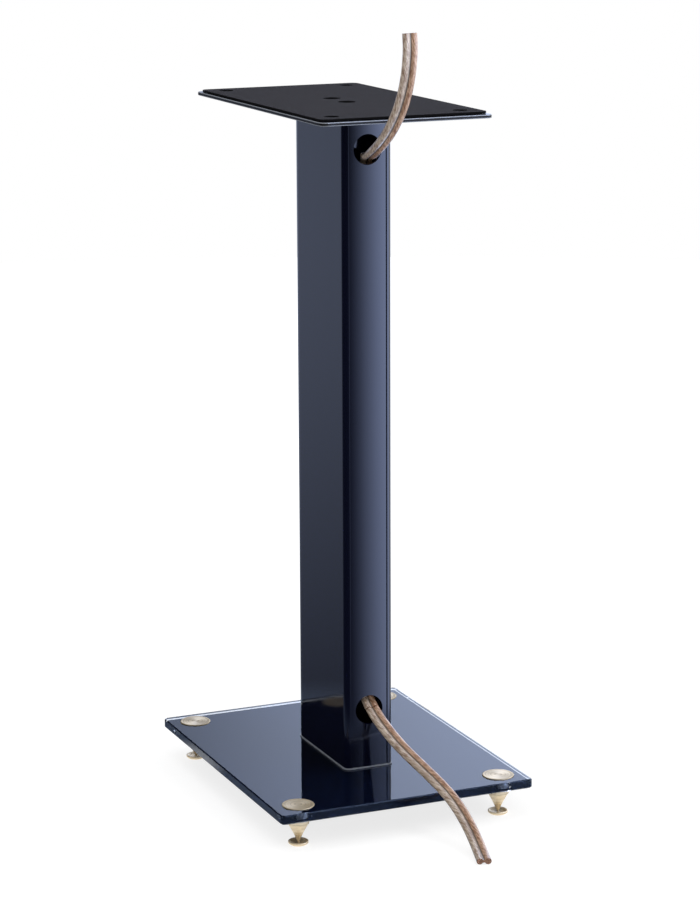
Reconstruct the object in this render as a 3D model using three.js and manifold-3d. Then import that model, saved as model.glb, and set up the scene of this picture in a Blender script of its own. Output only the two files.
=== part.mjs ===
// Speaker stand: a dark glass base on four screw-adjusted spike feet, a tall aluminium column
// with a clip-in rear cover that hides the speaker cable, and a padded steel top plate.
// Millimetres, +Z up. The origin is the middle of the footprint on the floor, the rounded
// front of the column looks along -Y, and the rear cover with its cable holes along +Y.
import * as THREE from "three";
import { mergeVertices } from "three/addons/utils/BufferGeometryUtils.js";
import Module from "manifold-3d";

// ---------------------------------------------------------------- driving dimensions

const STAND_HEIGHT = 600; // floor to the top of the pad
const GAP = 0.3; // left between pieces that touch
const BEYOND = 1; // how far a cutter runs past the face it opens
const FINE_TURN = 24; // sides of a turned piece that is seen close up

// Base glass
const GLASS_WIDTH = 230;
const GLASS_DEPTH = 285;
const GLASS_THICKNESS = 8;
const GLASS_UNDERSIDE = 26;
const GLASS_CORNER_RADIUS = 4;
const GLASS_ARRIS = 0.8;
const FOOT_INSET_X = 23; // foot centre to the side edge of the glass
const FOOT_INSET_Y = 21; // foot centre to the front or rear edge
const FOOT_HOLE_RADIUS = 8;
const BASE_BOLT_HOLE_RADIUS = 5;

// Feet
const CAP_RADIUS = 13.5;
const CAP_THICKNESS = 0.8;
const CAP_BEVEL = 0.3;
const BOSS_RADIUS = 6;
const BUSH_WALL = 1.4;
const BUSH_FLANGE_RADIUS = 12;
const BUSH_FLANGE_THICKNESS = 1;
const NUT_RADIUS = 11;
const NUT_THICKNESS = 2.5;
const NUT_CHAMFER = 0.5;
const THREAD_RADIUS = 4; // M8, drawn plain
const COLLAR_RADIUS = 9.2;
const COLLAR_HEIGHT = 3.2;
const COLLAR_STEP = 0.4;
const STUD_ENGAGEMENT = 10.2;
const STUD_CHAMFER = 0.8;
const TIP_RADIUS = 0.4;
const TIP_ROUNDING = 0.1;
const CONE_HOLLOW = 1.3; // 1 is a straight cone, more is a deeper waist
const CUP_RADIUS = 8.5;
const CUP_HEIGHT = 3;
const CUP_FLOOR = 1.2;
const CUP_RIM = 0.9;
const CUP_RIM_CHAMFER = 0.3;
const CUP_SEAT_RADIUS = 6.8; // the flat that stands on the floor
const CUP_SKIRT = 1.4; // where the flared underside meets the outer wall
const CUP_DIMPLE_RADIUS = 1.2;
const CUP_DIMPLE_DEPTH = 0.3;

// Column
const COLUMN_WIDTH = 44;
const COLUMN_DEPTH = 118;
const COLUMN_WALL = 2.5;
const REAR_CORNER_RADIUS = 5;
const GASKET_THICKNESS = 1;
const GASKET_OVERHANG = 0.5;
const WEB_Y = 31.75; // middle of the wall between the screw ports and the cable duct
const PORT_Y = 16; // screw ports at +/- this
const PORT_OUTER_RADIUS = 8;
const LIP_REACH = 7; // the lips that hold the rear cover, from the inside of the side wall
const LIP_THICKNESS = 2;

// Rear cover
const COVER_THICKNESS = 2.3;
const COVER_CROWN = 0.9; // the outer face falls by this much from the middle to its edges
const LEG_THICKNESS = 1.6;
const LEG_PLAY = 0.5;
const BARB_REACH = 1.5;
const BARB_LENGTH = 3;
const CABLE_HOLE_RADIUS = 12.5;
const LOWER_HOLE_Z = 86;
const UPPER_HOLE_Z = 565;

// Top plate and pad
const PLATE_WIDTH = 150;
const PLATE_DEPTH = 280;
const PLATE_THICKNESS = 3;
const PLATE_CORNER_RADIUS = 6;
const PLATE_CHAMFER = 0.5;
const PAD_MARGIN_X = 2;
const PAD_MARGIN_Y = 6;
const PAD_THICKNESS = 1.7;
const PAD_SCREW_HOLE_RADIUS = 7.3;
const PAD_CORNER_HOLE_RADIUS = 6;
const SPEAKER_HOLE_RADIUS = 3.2;
const SPEAKER_HOLE_X = 56;
const SPEAKER_HOLE_Y = 116;

// Fasteners
const SCREW_HEAD_RADIUS = 6.8;
const SCREW_HEAD_HEIGHT = 2.6;
const SCREW_LENGTH = 22;
const SOCKET_ACROSS_FLATS = 5;
const SOCKET_DEPTH = 2;
const BOLT_ACROSS_FLATS = 13;
const BOLT_HEAD_HEIGHT = 5.3;
const BOLT_HEAD_BEVEL = 0.5;
const BOLT_GRIP_IN_PORT = 22;
const WASHER_RADIUS = 8;
const WASHER_THICKNESS = 1.6;
const SPREADER_WIDTH = 60;
const SPREADER_DEPTH = 110;
const SPREADER_CORNER_RADIUS = 6;
const SPREADER_THICKNESS = 3;
const SPREADER_PAD_THICKNESS = 1;
const SPREADER_PAD_MARGIN = 1;

// Flat twin cable
const CABLE_WIDTH = 12.5;
const CABLE_THICKNESS = 5.5;
const CABLE_GROOVE = 0.75; // depth of the groove between the two cores, on each side
const UPPER_STEPS = 16;
const INNER_STEPS = 34;
const LOWER_STEPS = 18;

// ---------------------------------------------------------------- derived heights

const GLASS_TOP = GLASS_UNDERSIDE + GLASS_THICKNESS;
const GASKET_BOTTOM = GLASS_TOP + GAP;
const COLUMN_BOTTOM = GASKET_BOTTOM + GASKET_THICKNESS + GAP;
const PAD_BOTTOM = STAND_HEIGHT - PAD_THICKNESS;
const PLATE_TOP = PAD_BOTTOM - GAP;
const PLATE_BOTTOM = PLATE_TOP - PLATE_THICKNESS;
const COLUMN_TOP = PLATE_BOTTOM - GAP;
const COLUMN_HEIGHT = COLUMN_TOP - COLUMN_BOTTOM;

const HALF_WIDTH = COLUMN_WIDTH / 2;
const HALF_DEPTH = COLUMN_DEPTH / 2;
const INNER_X = HALF_WIDTH - COLUMN_WALL;
const NOSE_CENTRE_Y = HALF_WIDTH - HALF_DEPTH;
const SEAM_X = HALF_WIDTH - REAR_CORNER_RADIUS;
const COVER_INNER_Y = HALF_DEPTH - COVER_THICKNESS;
const LIP_OUTER_Y = COVER_INNER_Y - GAP;
const LIP_INNER_Y = LIP_OUTER_Y - LIP_THICKNESS;
const LIP_END_X = INNER_X - LIP_REACH;
const PORT_RADIUS = THREAD_RADIUS + GAP;

// ---------------------------------------------------------------- finishes

function finish(color, roughness, metalness) {
  return new THREE.MeshStandardMaterial({ color, roughness, metalness });
}

const backPaintedGlass = finish(0x10141f, 0.05, 0.0);
const navyLacquer = finish(0x1b2136, 0.18, 0.2);
const blackSteel = finish(0x15171f, 0.35, 0.6);
const zincSteel = finish(0xa8abad, 0.4, 1.0);
const spunBrass = finish(0xcbbd9c, 0.3, 1.0);
const charcoalPad = finish(0x3a393e, 0.9, 0.0);
const blackRubber = finish(0x1c1c1e, 0.85, 0.0);
const clearGasket = finish(0xc9ccd2, 0.4, 0.0);
const whiteNylon = finish(0xd8d6cf, 0.6, 0.0);
const clearCopperCable = finish(0x9a6f5c, 0.35, 0.2);

// ---------------------------------------------------------------- solid helpers

const wasm = await Module();
wasm.setup();

function solidOf(geometry) {
  const bare = geometry.clone();
  bare.deleteAttribute("normal");
  bare.deleteAttribute("uv");
  const merged = mergeVertices(bare, 1e-4);
  return new wasm.Manifold(new wasm.Mesh({
    numProp: 3,
    vertProperties: merged.attributes.position.array,
    triVerts: new Uint32Array(merged.index.array),
  }));
}

function geometryOf(solid) {
  const { vertProperties, triVerts } = solid.getMesh();
  const geometry = new THREE.BufferGeometry();
  geometry.setAttribute("position", new THREE.BufferAttribute(vertProperties, 3));
  geometry.setIndex(new THREE.BufferAttribute(triVerts, 1));
  const faceted = geometry.toNonIndexed();
  faceted.computeVertexNormals();
  return faceted;
}

function cut(body, ...cutters) {
  const solid = cutters.reduce((rest, cutter) => rest.subtract(solidOf(cutter)), solidOf(body));
  return geometryOf(solid);
}

function join(...bodies) {
  return geometryOf(bodies.map(solidOf).reduce((sum, body) => sum.add(body)));
}

function piece(name, geometry, material) {
  const mesh = new THREE.Mesh(geometry, material);
  mesh.name = name;
  return mesh;
}

function point(x, y) {
  return new THREE.Vector2(x, y);
}

// Points along an arc about (x, y), both ends included.
function arc(x, y, radius, from, to, steps) {
  return Array.from({ length: steps + 1 }, (_, i) => {
    const angle = from + ((to - from) * i) / steps;
    return point(x + radius * Math.cos(angle), y + radius * Math.sin(angle));
  });
}

function circle(x, y, radius, steps = 18) {
  return new THREE.Path(arc(x, y, radius, 0, 2 * Math.PI, steps).slice(0, -1));
}

function polygon(acrossFlats, sides) {
  const radius = acrossFlats / 2 / Math.cos(Math.PI / sides);
  return new THREE.Shape(arc(0, 0, radius, 0, 2 * Math.PI, sides).slice(0, -1));
}

function roundedRectangle(width, depth, radius) {
  const x = width / 2 - radius;
  const y = depth / 2 - radius;
  const corners = [[x, y], [-x, y], [-x, -y], [x, -y]];
  const points = corners.flatMap(([cx, cy], i) =>
    arc(cx, cy, radius, (i * Math.PI) / 2, ((i + 1) * Math.PI) / 2, 5));
  return new THREE.Shape(points);
}

// A flat outline made into a plate from z = bottom up, with its edges chamfered.
function plate(shape, bottom, thickness, chamfer = 0) {
  const geometry = new THREE.ExtrudeGeometry(shape, {
    depth: thickness - 2 * chamfer,
    bevelEnabled: chamfer > 0,
    bevelThickness: chamfer,
    bevelSize: chamfer,
    bevelOffset: -chamfer,
    bevelSegments: 1,
  });
  return geometry.translate(0, 0, bottom + chamfer);
}

// A [radius, z] profile turned about the Z axis.
function turned(profile, steps = 20) {
  const points = profile.map(([radius, z]) => point(radius, z));
  return new THREE.LatheGeometry(points, steps).rotateX(Math.PI / 2);
}

function atBothPorts(make) {
  return [make(-PORT_Y), make(PORT_Y)];
}

// ---------------------------------------------------------------- base

function baseGlass() {
  const outline = roundedRectangle(GLASS_WIDTH, GLASS_DEPTH, GLASS_CORNER_RADIUS);
  footPlaces().forEach(({ x, y }) => outline.holes.push(circle(x, y, FOOT_HOLE_RADIUS)));
  outline.holes.push(...atBothPorts((y) => circle(0, y, BASE_BOLT_HOLE_RADIUS)));
  return plate(outline, GLASS_UNDERSIDE, GLASS_THICKNESS, GLASS_ARRIS);
}

function footPlaces() {
  const x = GLASS_WIDTH / 2 - FOOT_INSET_X;
  const y = GLASS_DEPTH / 2 - FOOT_INSET_Y;
  return [
    { name: "front_left", x: -x, y: -y },
    { name: "front_right", x, y: -y },
    { name: "rear_left", x: -x, y },
    { name: "rear_right", x, y },
  ];
}

// ---------------------------------------------------------------- one foot, about its own axis

const FLANGE_TOP = GLASS_UNDERSIDE - GAP;
const FLANGE_BOTTOM = FLANGE_TOP - BUSH_FLANGE_THICKNESS;
const NUT_TOP = FLANGE_BOTTOM - GAP;
const NUT_BOTTOM = NUT_TOP - NUT_THICKNESS;
const COLLAR_TOP = NUT_BOTTOM - GAP;
const COLLAR_BOTTOM = COLLAR_TOP - COLLAR_HEIGHT;
const STUD_TOP = COLLAR_TOP + STUD_ENGAGEMENT;

// Disc on the glass with a threaded boss down through it. The bore is blind, so the disc is plain.
function topCap() {
  const discBottom = GLASS_TOP + GAP;
  const discTop = discBottom + CAP_THICKNESS;
  const bore = THREAD_RADIUS + GAP;
  return turned([
    [0, STUD_TOP + GAP],
    [bore, STUD_TOP + GAP],
    [bore, NUT_BOTTOM],
    [BOSS_RADIUS, NUT_BOTTOM],
    [BOSS_RADIUS, discBottom],
    [CAP_RADIUS, discBottom],
    [CAP_RADIUS, discTop - CAP_BEVEL],
    [CAP_RADIUS - CAP_BEVEL, discTop],
    [0, discTop],
  ], FINE_TURN);
}

// Flanged sleeve that keeps the metal boss off the glass.
function glassBush() {
  const inner = BOSS_RADIUS + GAP;
  const outer = inner + BUSH_WALL;
  return turned([
    [inner, FLANGE_BOTTOM],
    [BUSH_FLANGE_RADIUS, FLANGE_BOTTOM],
    [BUSH_FLANGE_RADIUS, FLANGE_TOP],
    [outer, FLANGE_TOP],
    [outer, GLASS_TOP - GAP],
    [inner, GLASS_TOP - GAP],
    [inner, FLANGE_BOTTOM],
  ]);
}

// Thin nut on the outside of the boss. It clamps the cap to the glass.
function ringNut() {
  const inner = BOSS_RADIUS + GAP;
  return turned([
    [inner, NUT_BOTTOM],
    [NUT_RADIUS - NUT_CHAMFER, NUT_BOTTOM],
    [NUT_RADIUS, NUT_BOTTOM + NUT_CHAMFER],
    [NUT_RADIUS, NUT_TOP - NUT_CHAMFER],
    [NUT_RADIUS - NUT_CHAMFER, NUT_TOP],
    [inner, NUT_TOP],
    [inner, NUT_BOTTOM],
  ]);
}

// Hollow-ground cone: the radius grows with a power of the height above the tip.
function spike() {
  const tip = CUP_FLOOR + GAP;
  const coneTopRadius = COLLAR_RADIUS - COLLAR_STEP;
  const rings = 7;
  const cone = Array.from({ length: rings + 1 }, (_, i) => {
    const share = i / rings;
    const radius = TIP_RADIUS + (coneTopRadius - TIP_RADIUS) * share ** CONE_HOLLOW;
    return [radius, tip + (COLLAR_BOTTOM - tip) * share];
  });
  return turned([
    [0, tip - TIP_ROUNDING],
    ...cone,
    [COLLAR_RADIUS, COLLAR_BOTTOM],
    [COLLAR_RADIUS, COLLAR_TOP],
    [THREAD_RADIUS, COLLAR_TOP],
    [THREAD_RADIUS, STUD_TOP - STUD_CHAMFER],
    [THREAD_RADIUS - STUD_CHAMFER, STUD_TOP],
    [0, STUD_TOP],
  ], FINE_TURN);
}

// Dished cup: a parabolic bowl with a dimple for the spike's tip.
function cup() {
  const bowlWidth = CUP_RADIUS - CUP_RIM - CUP_DIMPLE_RADIUS;
  const rings = 4;
  const bowl = Array.from({ length: rings + 1 }, (_, i) => {
    const share = 1 - i / rings;
    const rise = (CUP_HEIGHT - CUP_FLOOR) * share ** 2;
    return [CUP_DIMPLE_RADIUS + bowlWidth * share, CUP_FLOOR + rise];
  });
  return turned([
    [0, 0],
    [CUP_SEAT_RADIUS, 0],
    [CUP_RADIUS, CUP_SKIRT],
    [CUP_RADIUS, CUP_HEIGHT - CUP_RIM_CHAMFER],
    [CUP_RADIUS - CUP_RIM_CHAMFER, CUP_HEIGHT],
    ...bowl,
    [0, CUP_FLOOR - CUP_DIMPLE_DEPTH],
  ], FINE_TURN);
}

function foot({ name, x, y }) {
  const group = new THREE.Group();
  group.position.set(x, y, 0);
  group.add(
    piece(`top_cap_${name}`, topCap(), spunBrass),
    piece(`glass_bush_${name}`, glassBush(), whiteNylon),
    piece(`ring_nut_${name}`, ringNut(), zincSteel),
    piece(`spike_${name}`, spike(), spunBrass),
    piece(`cup_${name}`, cup(), spunBrass),
  );
  return group;
}

// ---------------------------------------------------------------- column

// Outer line of the column with its rear closed, grown outwards by a margin.
function columnOutline(grow) {
  const cornerY = HALF_DEPTH - REAR_CORNER_RADIUS;
  const corner = REAR_CORNER_RADIUS + grow;
  return [
    ...arc(0, NOSE_CENTRE_Y, HALF_WIDTH + grow, Math.PI, 2 * Math.PI, 32),
    ...arc(SEAM_X, cornerY, corner, 0, Math.PI / 2, 5),
    ...arc(-SEAM_X, cornerY, corner, Math.PI / 2, Math.PI, 5),
  ];
}

// The hollow extrusion: a half-round nose, two screw ports on ribs, a web, and behind the web
// the open cable duct, whose lips the rear cover clips over.
function columnExtrusion() {
  const outline = columnOutline(0);
  const seam = outline.findIndex((p) => Math.abs(p.y - HALF_DEPTH) < 1e-6);
  const duct = [
    point(SEAM_X, LIP_OUTER_Y),
    point(LIP_END_X, LIP_OUTER_Y),
    point(LIP_END_X, LIP_INNER_Y),
    point(INNER_X, LIP_INNER_Y),
    point(INNER_X, WEB_Y + COLUMN_WALL / 2),
  ];
  const mirrored = duct.map((p) => point(-p.x, p.y)).reverse();
  outline.splice(seam + 1, 0, ...duct, ...mirrored);
  const section = new THREE.Shape(outline);
  section.holes.push(...chambers());
  section.holes.push(...atBothPorts((y) => circle(0, y, PORT_RADIUS)));
  return plate(section, COLUMN_BOTTOM, COLUMN_HEIGHT);
}

// The three hollows in front of the duct. Each rib runs from a screw port to both side walls.
function chambers() {
  const ribHalf = COLUMN_WALL / 2;
  const ribAngle = Math.asin(ribHalf / PORT_OUTER_RADIUS);
  const nose = arc(0, NOSE_CENTRE_Y, INNER_X, Math.PI, 2 * Math.PI, 24);
  const below = (y) => [
    point(INNER_X, y - ribHalf),
    ...arc(0, y, PORT_OUTER_RADIUS, -ribAngle, ribAngle - Math.PI, 12),
    point(-INNER_X, y - ribHalf),
  ];
  const above = (y) => [
    point(-INNER_X, y + ribHalf),
    ...arc(0, y, PORT_OUTER_RADIUS, Math.PI - ribAngle, ribAngle, 12),
    point(INNER_X, y + ribHalf),
  ];
  const webFront = WEB_Y - ribHalf;
  return [
    [...nose, ...below(-PORT_Y)],
    [...above(-PORT_Y), ...below(PORT_Y)],
    [...above(PORT_Y), point(INNER_X, webFront), point(-INNER_X, webFront)],
  ].map((points) => new THREE.Path(points));
}

function footGasket() {
  const outline = new THREE.Shape(columnOutline(GASKET_OVERHANG));
  outline.holes.push(...atBothPorts((y) => circle(0, y, PORT_RADIUS)));
  return plate(outline, GASKET_BOTTOM, GASKET_THICKNESS);
}

// A cutter along Y for one cable hole. It also clears the legs of the cover.
function cableHole(z) {
  const length = HALF_DEPTH - WEB_Y;
  const cylinder = new THREE.CylinderGeometry(CABLE_HOLE_RADIUS, CABLE_HOLE_RADIUS, length, 36);
  return cylinder.translate(0, HALF_DEPTH + BEYOND - length / 2, z);
}

// The slightly crowned outer face of the cover, from its left edge to its right edge.
function coverCrown(halfWidth) {
  const steps = 8;
  return Array.from({ length: steps + 1 }, (_, i) => {
    const share = (2 * i) / steps - 1;
    return point(halfWidth * share, HALF_DEPTH - COVER_CROWN * share ** 2);
  });
}

// Crowned strip with two barbed legs that snap behind the lips of the duct.
function rearCover() {
  const halfWidth = SEAM_X - GAP;
  const legOuter = LIP_END_X - LEG_PLAY;
  const legInner = legOuter - LEG_THICKNESS;
  const barbTop = LIP_INNER_Y - GAP;
  const half = [
    point(halfWidth, COVER_INNER_Y),
    point(legOuter, COVER_INNER_Y),
    point(legOuter, barbTop),
    point(legOuter + BARB_REACH, barbTop),
    point(legOuter, barbTop - BARB_LENGTH),
    point(legInner, barbTop - BARB_LENGTH),
    point(legInner, COVER_INNER_Y),
  ];
  const mirrored = half.map((p) => point(-p.x, p.y)).reverse();
  const section = new THREE.Shape([...coverCrown(halfWidth), ...half, ...mirrored]);
  const strip = plate(section, COLUMN_BOTTOM, COLUMN_HEIGHT);
  return cut(strip, cableHole(LOWER_HOLE_Z), cableHole(UPPER_HOLE_Z));
}

// ---------------------------------------------------------------- under the glass

const SPREADER_PAD_BOTTOM = GLASS_UNDERSIDE - GAP - SPREADER_PAD_THICKNESS;
const SPREADER_BOTTOM = SPREADER_PAD_BOTTOM - GAP - SPREADER_THICKNESS;
const WASHER_BOTTOM = SPREADER_BOTTOM - GAP - WASHER_THICKNESS;

function spreader(bottom, thickness, margin) {
  const outline = roundedRectangle(
    SPREADER_WIDTH - 2 * margin,
    SPREADER_DEPTH - 2 * margin,
    SPREADER_CORNER_RADIUS,
  );
  outline.holes.push(...atBothPorts((y) => circle(0, y, PORT_RADIUS)));
  return plate(outline, bottom, thickness);
}

function boltWasher() {
  return turned([
    [PORT_RADIUS, WASHER_BOTTOM],
    [WASHER_RADIUS, WASHER_BOTTOM],
    [WASHER_RADIUS, WASHER_BOTTOM + WASHER_THICKNESS],
    [PORT_RADIUS, WASHER_BOTTOM + WASHER_THICKNESS],
    [PORT_RADIUS, WASHER_BOTTOM],
  ]);
}

function baseBolt() {
  const headTop = WASHER_BOTTOM - GAP;
  const end = COLUMN_BOTTOM + BOLT_GRIP_IN_PORT;
  const hexagon = polygon(BOLT_ACROSS_FLATS, 6);
  const head = plate(hexagon, headTop - BOLT_HEAD_HEIGHT, BOLT_HEAD_HEIGHT, BOLT_HEAD_BEVEL);
  const start = headTop - BEYOND;
  const shank = turned([[0, start], [THREAD_RADIUS, start], [THREAD_RADIUS, end], [0, end]]);
  return join(head, shank);
}

// ---------------------------------------------------------------- top plate

function speakerHoles(radius) {
  return [-1, 1].flatMap((sx) =>
    [-1, 1].map((sy) => circle(sx * SPEAKER_HOLE_X, sy * SPEAKER_HOLE_Y, radius, 16)));
}

function topPlate() {
  const outline = roundedRectangle(PLATE_WIDTH, PLATE_DEPTH, PLATE_CORNER_RADIUS);
  outline.holes.push(...speakerHoles(SPEAKER_HOLE_RADIUS));
  const blank = plate(outline, PLATE_BOTTOM, PLATE_THICKNESS, PLATE_CHAMFER);
  const slope = (SCREW_HEAD_RADIUS - THREAD_RADIUS) / SCREW_HEAD_HEIGHT;
  const wide = PORT_RADIUS + (PLATE_THICKNESS + BEYOND) * slope;
  const countersinks = atBothPorts((y) =>
    turned([
      [0, PLATE_BOTTOM - BEYOND],
      [PORT_RADIUS, PLATE_BOTTOM - BEYOND],
      [PORT_RADIUS, PLATE_BOTTOM],
      [wide, PLATE_TOP + BEYOND],
      [0, PLATE_TOP + BEYOND],
    ]).translate(0, y, 0));
  return cut(blank, ...countersinks);
}

function topPad() {
  const outline = roundedRectangle(
    PLATE_WIDTH - 2 * PAD_MARGIN_X,
    PLATE_DEPTH - 2 * PAD_MARGIN_Y,
    PLATE_CORNER_RADIUS,
  );
  outline.holes.push(...atBothPorts((y) => circle(0, y, PAD_SCREW_HOLE_RADIUS)));
  outline.holes.push(...speakerHoles(PAD_CORNER_HOLE_RADIUS));
  return plate(outline, PAD_BOTTOM, PAD_THICKNESS);
}

// Countersunk socket screw down into a port of the column.
function topScrew() {
  const headTop = PLATE_TOP - GAP;
  const neck = headTop - SCREW_HEAD_HEIGHT;
  const body = turned([
    [0, neck - SCREW_LENGTH],
    [THREAD_RADIUS, neck - SCREW_LENGTH],
    [THREAD_RADIUS, neck],
    [SCREW_HEAD_RADIUS, headTop],
    [0, headTop],
  ]);
  const hexagon = polygon(SOCKET_ACROSS_FLATS, 6);
  return cut(body, plate(hexagon, headTop - SOCKET_DEPTH, SOCKET_DEPTH + BEYOND));
}

// ---------------------------------------------------------------- cable

// Route of the free end that stands up behind the plate, from the upper hole outwards.
const UPPER_ROUTE = [
  [0, 59, 560.5],
  [4, 69, 561],
  [7.8, 79, 562.2],
  [10.8, 89, 564.3],
  [13.2, 99, 567.2],
  [15, 109, 570.8],
  [16, 118.8, 575.2],
  [16.4, 128, 580.4],
  [16.2, 136.7, 586.6],
  [15.7, 144.7, 594.2],
  [14.9, 151.8, 602.8],
  [14, 157.7, 612.5],
  [13.2, 162.3, 622.8],
  [12.6, 165.7, 633.6],
  [12.2, 167.8, 644.9],
  [12, 168.6, 656.2],
  [12.3, 168.2, 667.5],
];

// Route down the duct, from the upper hole to the lower one.
const INNER_ROUTE = [
  [-3, 51.6, 558.8],
  [-4.8, 45.6, 554],
  [-5.2, 42.2, 546.4],
  [-5, 41, 536],
  [-4.2, 41, 515],
  [-3, 41, 470],
  [-2.5, 41, 400],
  [-2.5, 41, 300],
  [-2.5, 41, 200],
  [-2.2, 41, 145],
  [-2, 41.2, 122],
  [-1.8, 42.8, 109],
  [-1.7, 46.4, 99.6],
  [-2, 52.2, 92.4],
];

// Route of the free end that leans over the rear edge of the glass, from the lower hole outwards.
const LOWER_ROUTE = [
  [-2.8, 59, 86.5],
  [-4.6, 67.5, 80],
  [-7, 76, 74],
  [-9.7, 84.8, 68.2],
  [-12.7, 93.7, 62.8],
  [-16, 102.7, 57.8],
  [-19.5, 111.8, 53],
  [-23, 121, 48.4],
  [-26.3, 130.2, 43.9],
  [-29.3, 139.5, 39.4],
  [-31.8, 149, 34.7],
  [-33.6, 158.5, 29.8],
  [-34.7, 168, 24.8],
  [-35, 177.6, 19.9],
  [-34.7, 187.4, 15.2],
  [-33.7, 197.3, 11],
  [-32.1, 207.4, 7.3],
  [-29.9, 217.8, 4.4],
  [-27.2, 228, 3],
];

// A stretch of a longer curve. Its frames keep the wide side of the cable level across.
class Stretch extends THREE.Curve {
  constructor(route, start, end) {
    super();
    this.route = route;
    this.start = start;
    this.end = end;
  }

  getPoint(t, target = new THREE.Vector3()) {
    return this.route.getPoint(this.start + (this.end - this.start) * t, target);
  }

  computeFrenetFrames(steps) {
    const tangents = [];
    const normals = [];
    const binormals = [];
    for (let i = 0; i <= steps; i++) {
      const tangent = this.getTangentAt(i / steps);
      const across = new THREE.Vector3(1, 0, 0).addScaledVector(tangent, -tangent.x).normalize();
      tangents.push(tangent);
      normals.push(across);
      binormals.push(new THREE.Vector3().crossVectors(tangent, across));
    }
    return { tangents, normals, binormals };
  }
}

// Two round cores side by side with a groove between them.
function cableSection() {
  const half = CABLE_THICKNESS / 2;
  const coreX = CABLE_WIDTH / 2 - half;
  const quarter = Math.PI / 2;
  const right = arc(coreX, 0, half, -quarter, quarter, 4);
  const left = arc(-coreX, 0, half, quarter, 3 * quarter, 4);
  const groove = half - CABLE_GROOVE;
  return new THREE.Shape([...right, point(0, groove), ...left, point(0, -groove)]);
}

function cableStretch(route, start, end, steps) {
  const path = new Stretch(route, start, end);
  return new THREE.ExtrudeGeometry(cableSection(), { steps, bevelEnabled: false, extrudePath: path });
}

// How far the curve parameter moves for a given distance at one place.
function parameterFor(distance, route, t) {
  const nudge = 1e-4;
  const speed = route.getPoint(t).distanceTo(route.getPoint(t + nudge)) / nudge;
  return distance / speed;
}

function cables() {
  const points = [...UPPER_ROUTE.slice().reverse(), ...INNER_ROUTE, ...LOWER_ROUTE];
  const route = new THREE.CatmullRomCurve3(points.map((p) => new THREE.Vector3(...p)));
  const last = points.length - 1;
  const upperHole = (UPPER_ROUTE.length - 1) / last;
  const lowerHole = (UPPER_ROUTE.length + INNER_ROUTE.length) / last;
  const innerStart = upperHole + parameterFor(GAP, route, upperHole);
  const innerEnd = lowerHole - parameterFor(GAP, route, lowerHole);
  const group = new THREE.Group();
  group.add(
    piece("cable_upper", cableStretch(route, 0, upperHole, UPPER_STEPS), clearCopperCable),
    piece("cable_inner", cableStretch(route, innerStart, innerEnd, INNER_STEPS), clearCopperCable),
    piece("cable_lower", cableStretch(route, lowerHole, 1, LOWER_STEPS), clearCopperCable),
  );
  return group;
}

// ---------------------------------------------------------------- the whole stand

function atPort(name, geometry, material, y) {
  const mesh = piece(name, geometry, material);
  mesh.position.y = y;
  return mesh;
}

function speakerStand() {
  const stand = new THREE.Group();
  stand.add(piece("base_glass", baseGlass(), backPaintedGlass));
  footPlaces().forEach((place) => stand.add(foot(place)));
  stand.add(piece("foot_gasket", footGasket(), clearGasket));
  stand.add(piece("column_extrusion", columnExtrusion(), navyLacquer));
  stand.add(piece("rear_cover", rearCover(), navyLacquer));
  const pad = spreader(SPREADER_PAD_BOTTOM, SPREADER_PAD_THICKNESS, SPREADER_PAD_MARGIN);
  const spreaderPlate = spreader(SPREADER_BOTTOM, SPREADER_THICKNESS, 0);
  stand.add(piece("spreader_pad", pad, blackRubber));
  stand.add(piece("spreader_plate", spreaderPlate, zincSteel));
  stand.add(piece("top_plate", topPlate(), blackSteel));
  stand.add(piece("top_pad", topPad(), charcoalPad));
  [["front", -PORT_Y], ["rear", PORT_Y]].forEach(([side, y]) => {
    stand.add(atPort(`bolt_washer_${side}`, boltWasher(), zincSteel, y));
    stand.add(atPort(`base_bolt_${side}`, baseBolt(), zincSteel, y));
    stand.add(atPort(`top_screw_${side}`, topScrew(), blackSteel, y));
  });
  stand.add(cables());
  return stand;
}

export default speakerStand();
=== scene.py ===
# %% [markdown]
# # A speaker stand on spiked feet
# The stand is a dark glass base on four brass spikes, a lacquered aluminium column with a
# clip-in rear cover, and a steel top plate under a thin charcoal pad. A flat twin speaker cable
# runs down inside the column and shows at both of its holes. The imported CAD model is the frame:
# it fixes every size and every place, and this file dresses it.

import math

import bmesh
import bpy
import numpy as np
from mathutils import Matrix, Vector, geometry


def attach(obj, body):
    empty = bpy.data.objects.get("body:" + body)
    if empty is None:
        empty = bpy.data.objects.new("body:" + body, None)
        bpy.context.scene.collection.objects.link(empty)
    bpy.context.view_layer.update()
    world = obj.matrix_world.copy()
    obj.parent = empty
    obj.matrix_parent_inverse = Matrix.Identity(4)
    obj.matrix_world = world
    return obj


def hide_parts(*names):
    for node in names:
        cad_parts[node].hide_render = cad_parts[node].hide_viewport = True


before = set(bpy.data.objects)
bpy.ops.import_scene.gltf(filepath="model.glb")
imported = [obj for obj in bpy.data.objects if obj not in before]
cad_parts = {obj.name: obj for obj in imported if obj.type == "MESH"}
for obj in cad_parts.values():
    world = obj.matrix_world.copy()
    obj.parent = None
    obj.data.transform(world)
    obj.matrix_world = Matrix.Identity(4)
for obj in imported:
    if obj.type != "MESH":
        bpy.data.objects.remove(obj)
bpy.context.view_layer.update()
MM = 0.001

# %% [markdown]
# ## The camera
# The photograph was taken from behind and a little above, with a long lens. The camera's place
# is given by its turn about the stand, its height above the horizon and its distance from a
# target. The picture's long side is 36 mm of sensor, so the lens follows from the focal length
# in pixels.

# %% Camera
TURN = math.radians(156.66)
RISE = math.radians(12.68)
ROLL = math.radians(-0.24)
DISTANCE = 2.4818
TARGET = Vector((-0.00848, 0, 0.30026))
FOCAL_PIXELS = 2895.62
SENSOR = 36
PICTURE_HEIGHT = 900


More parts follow.
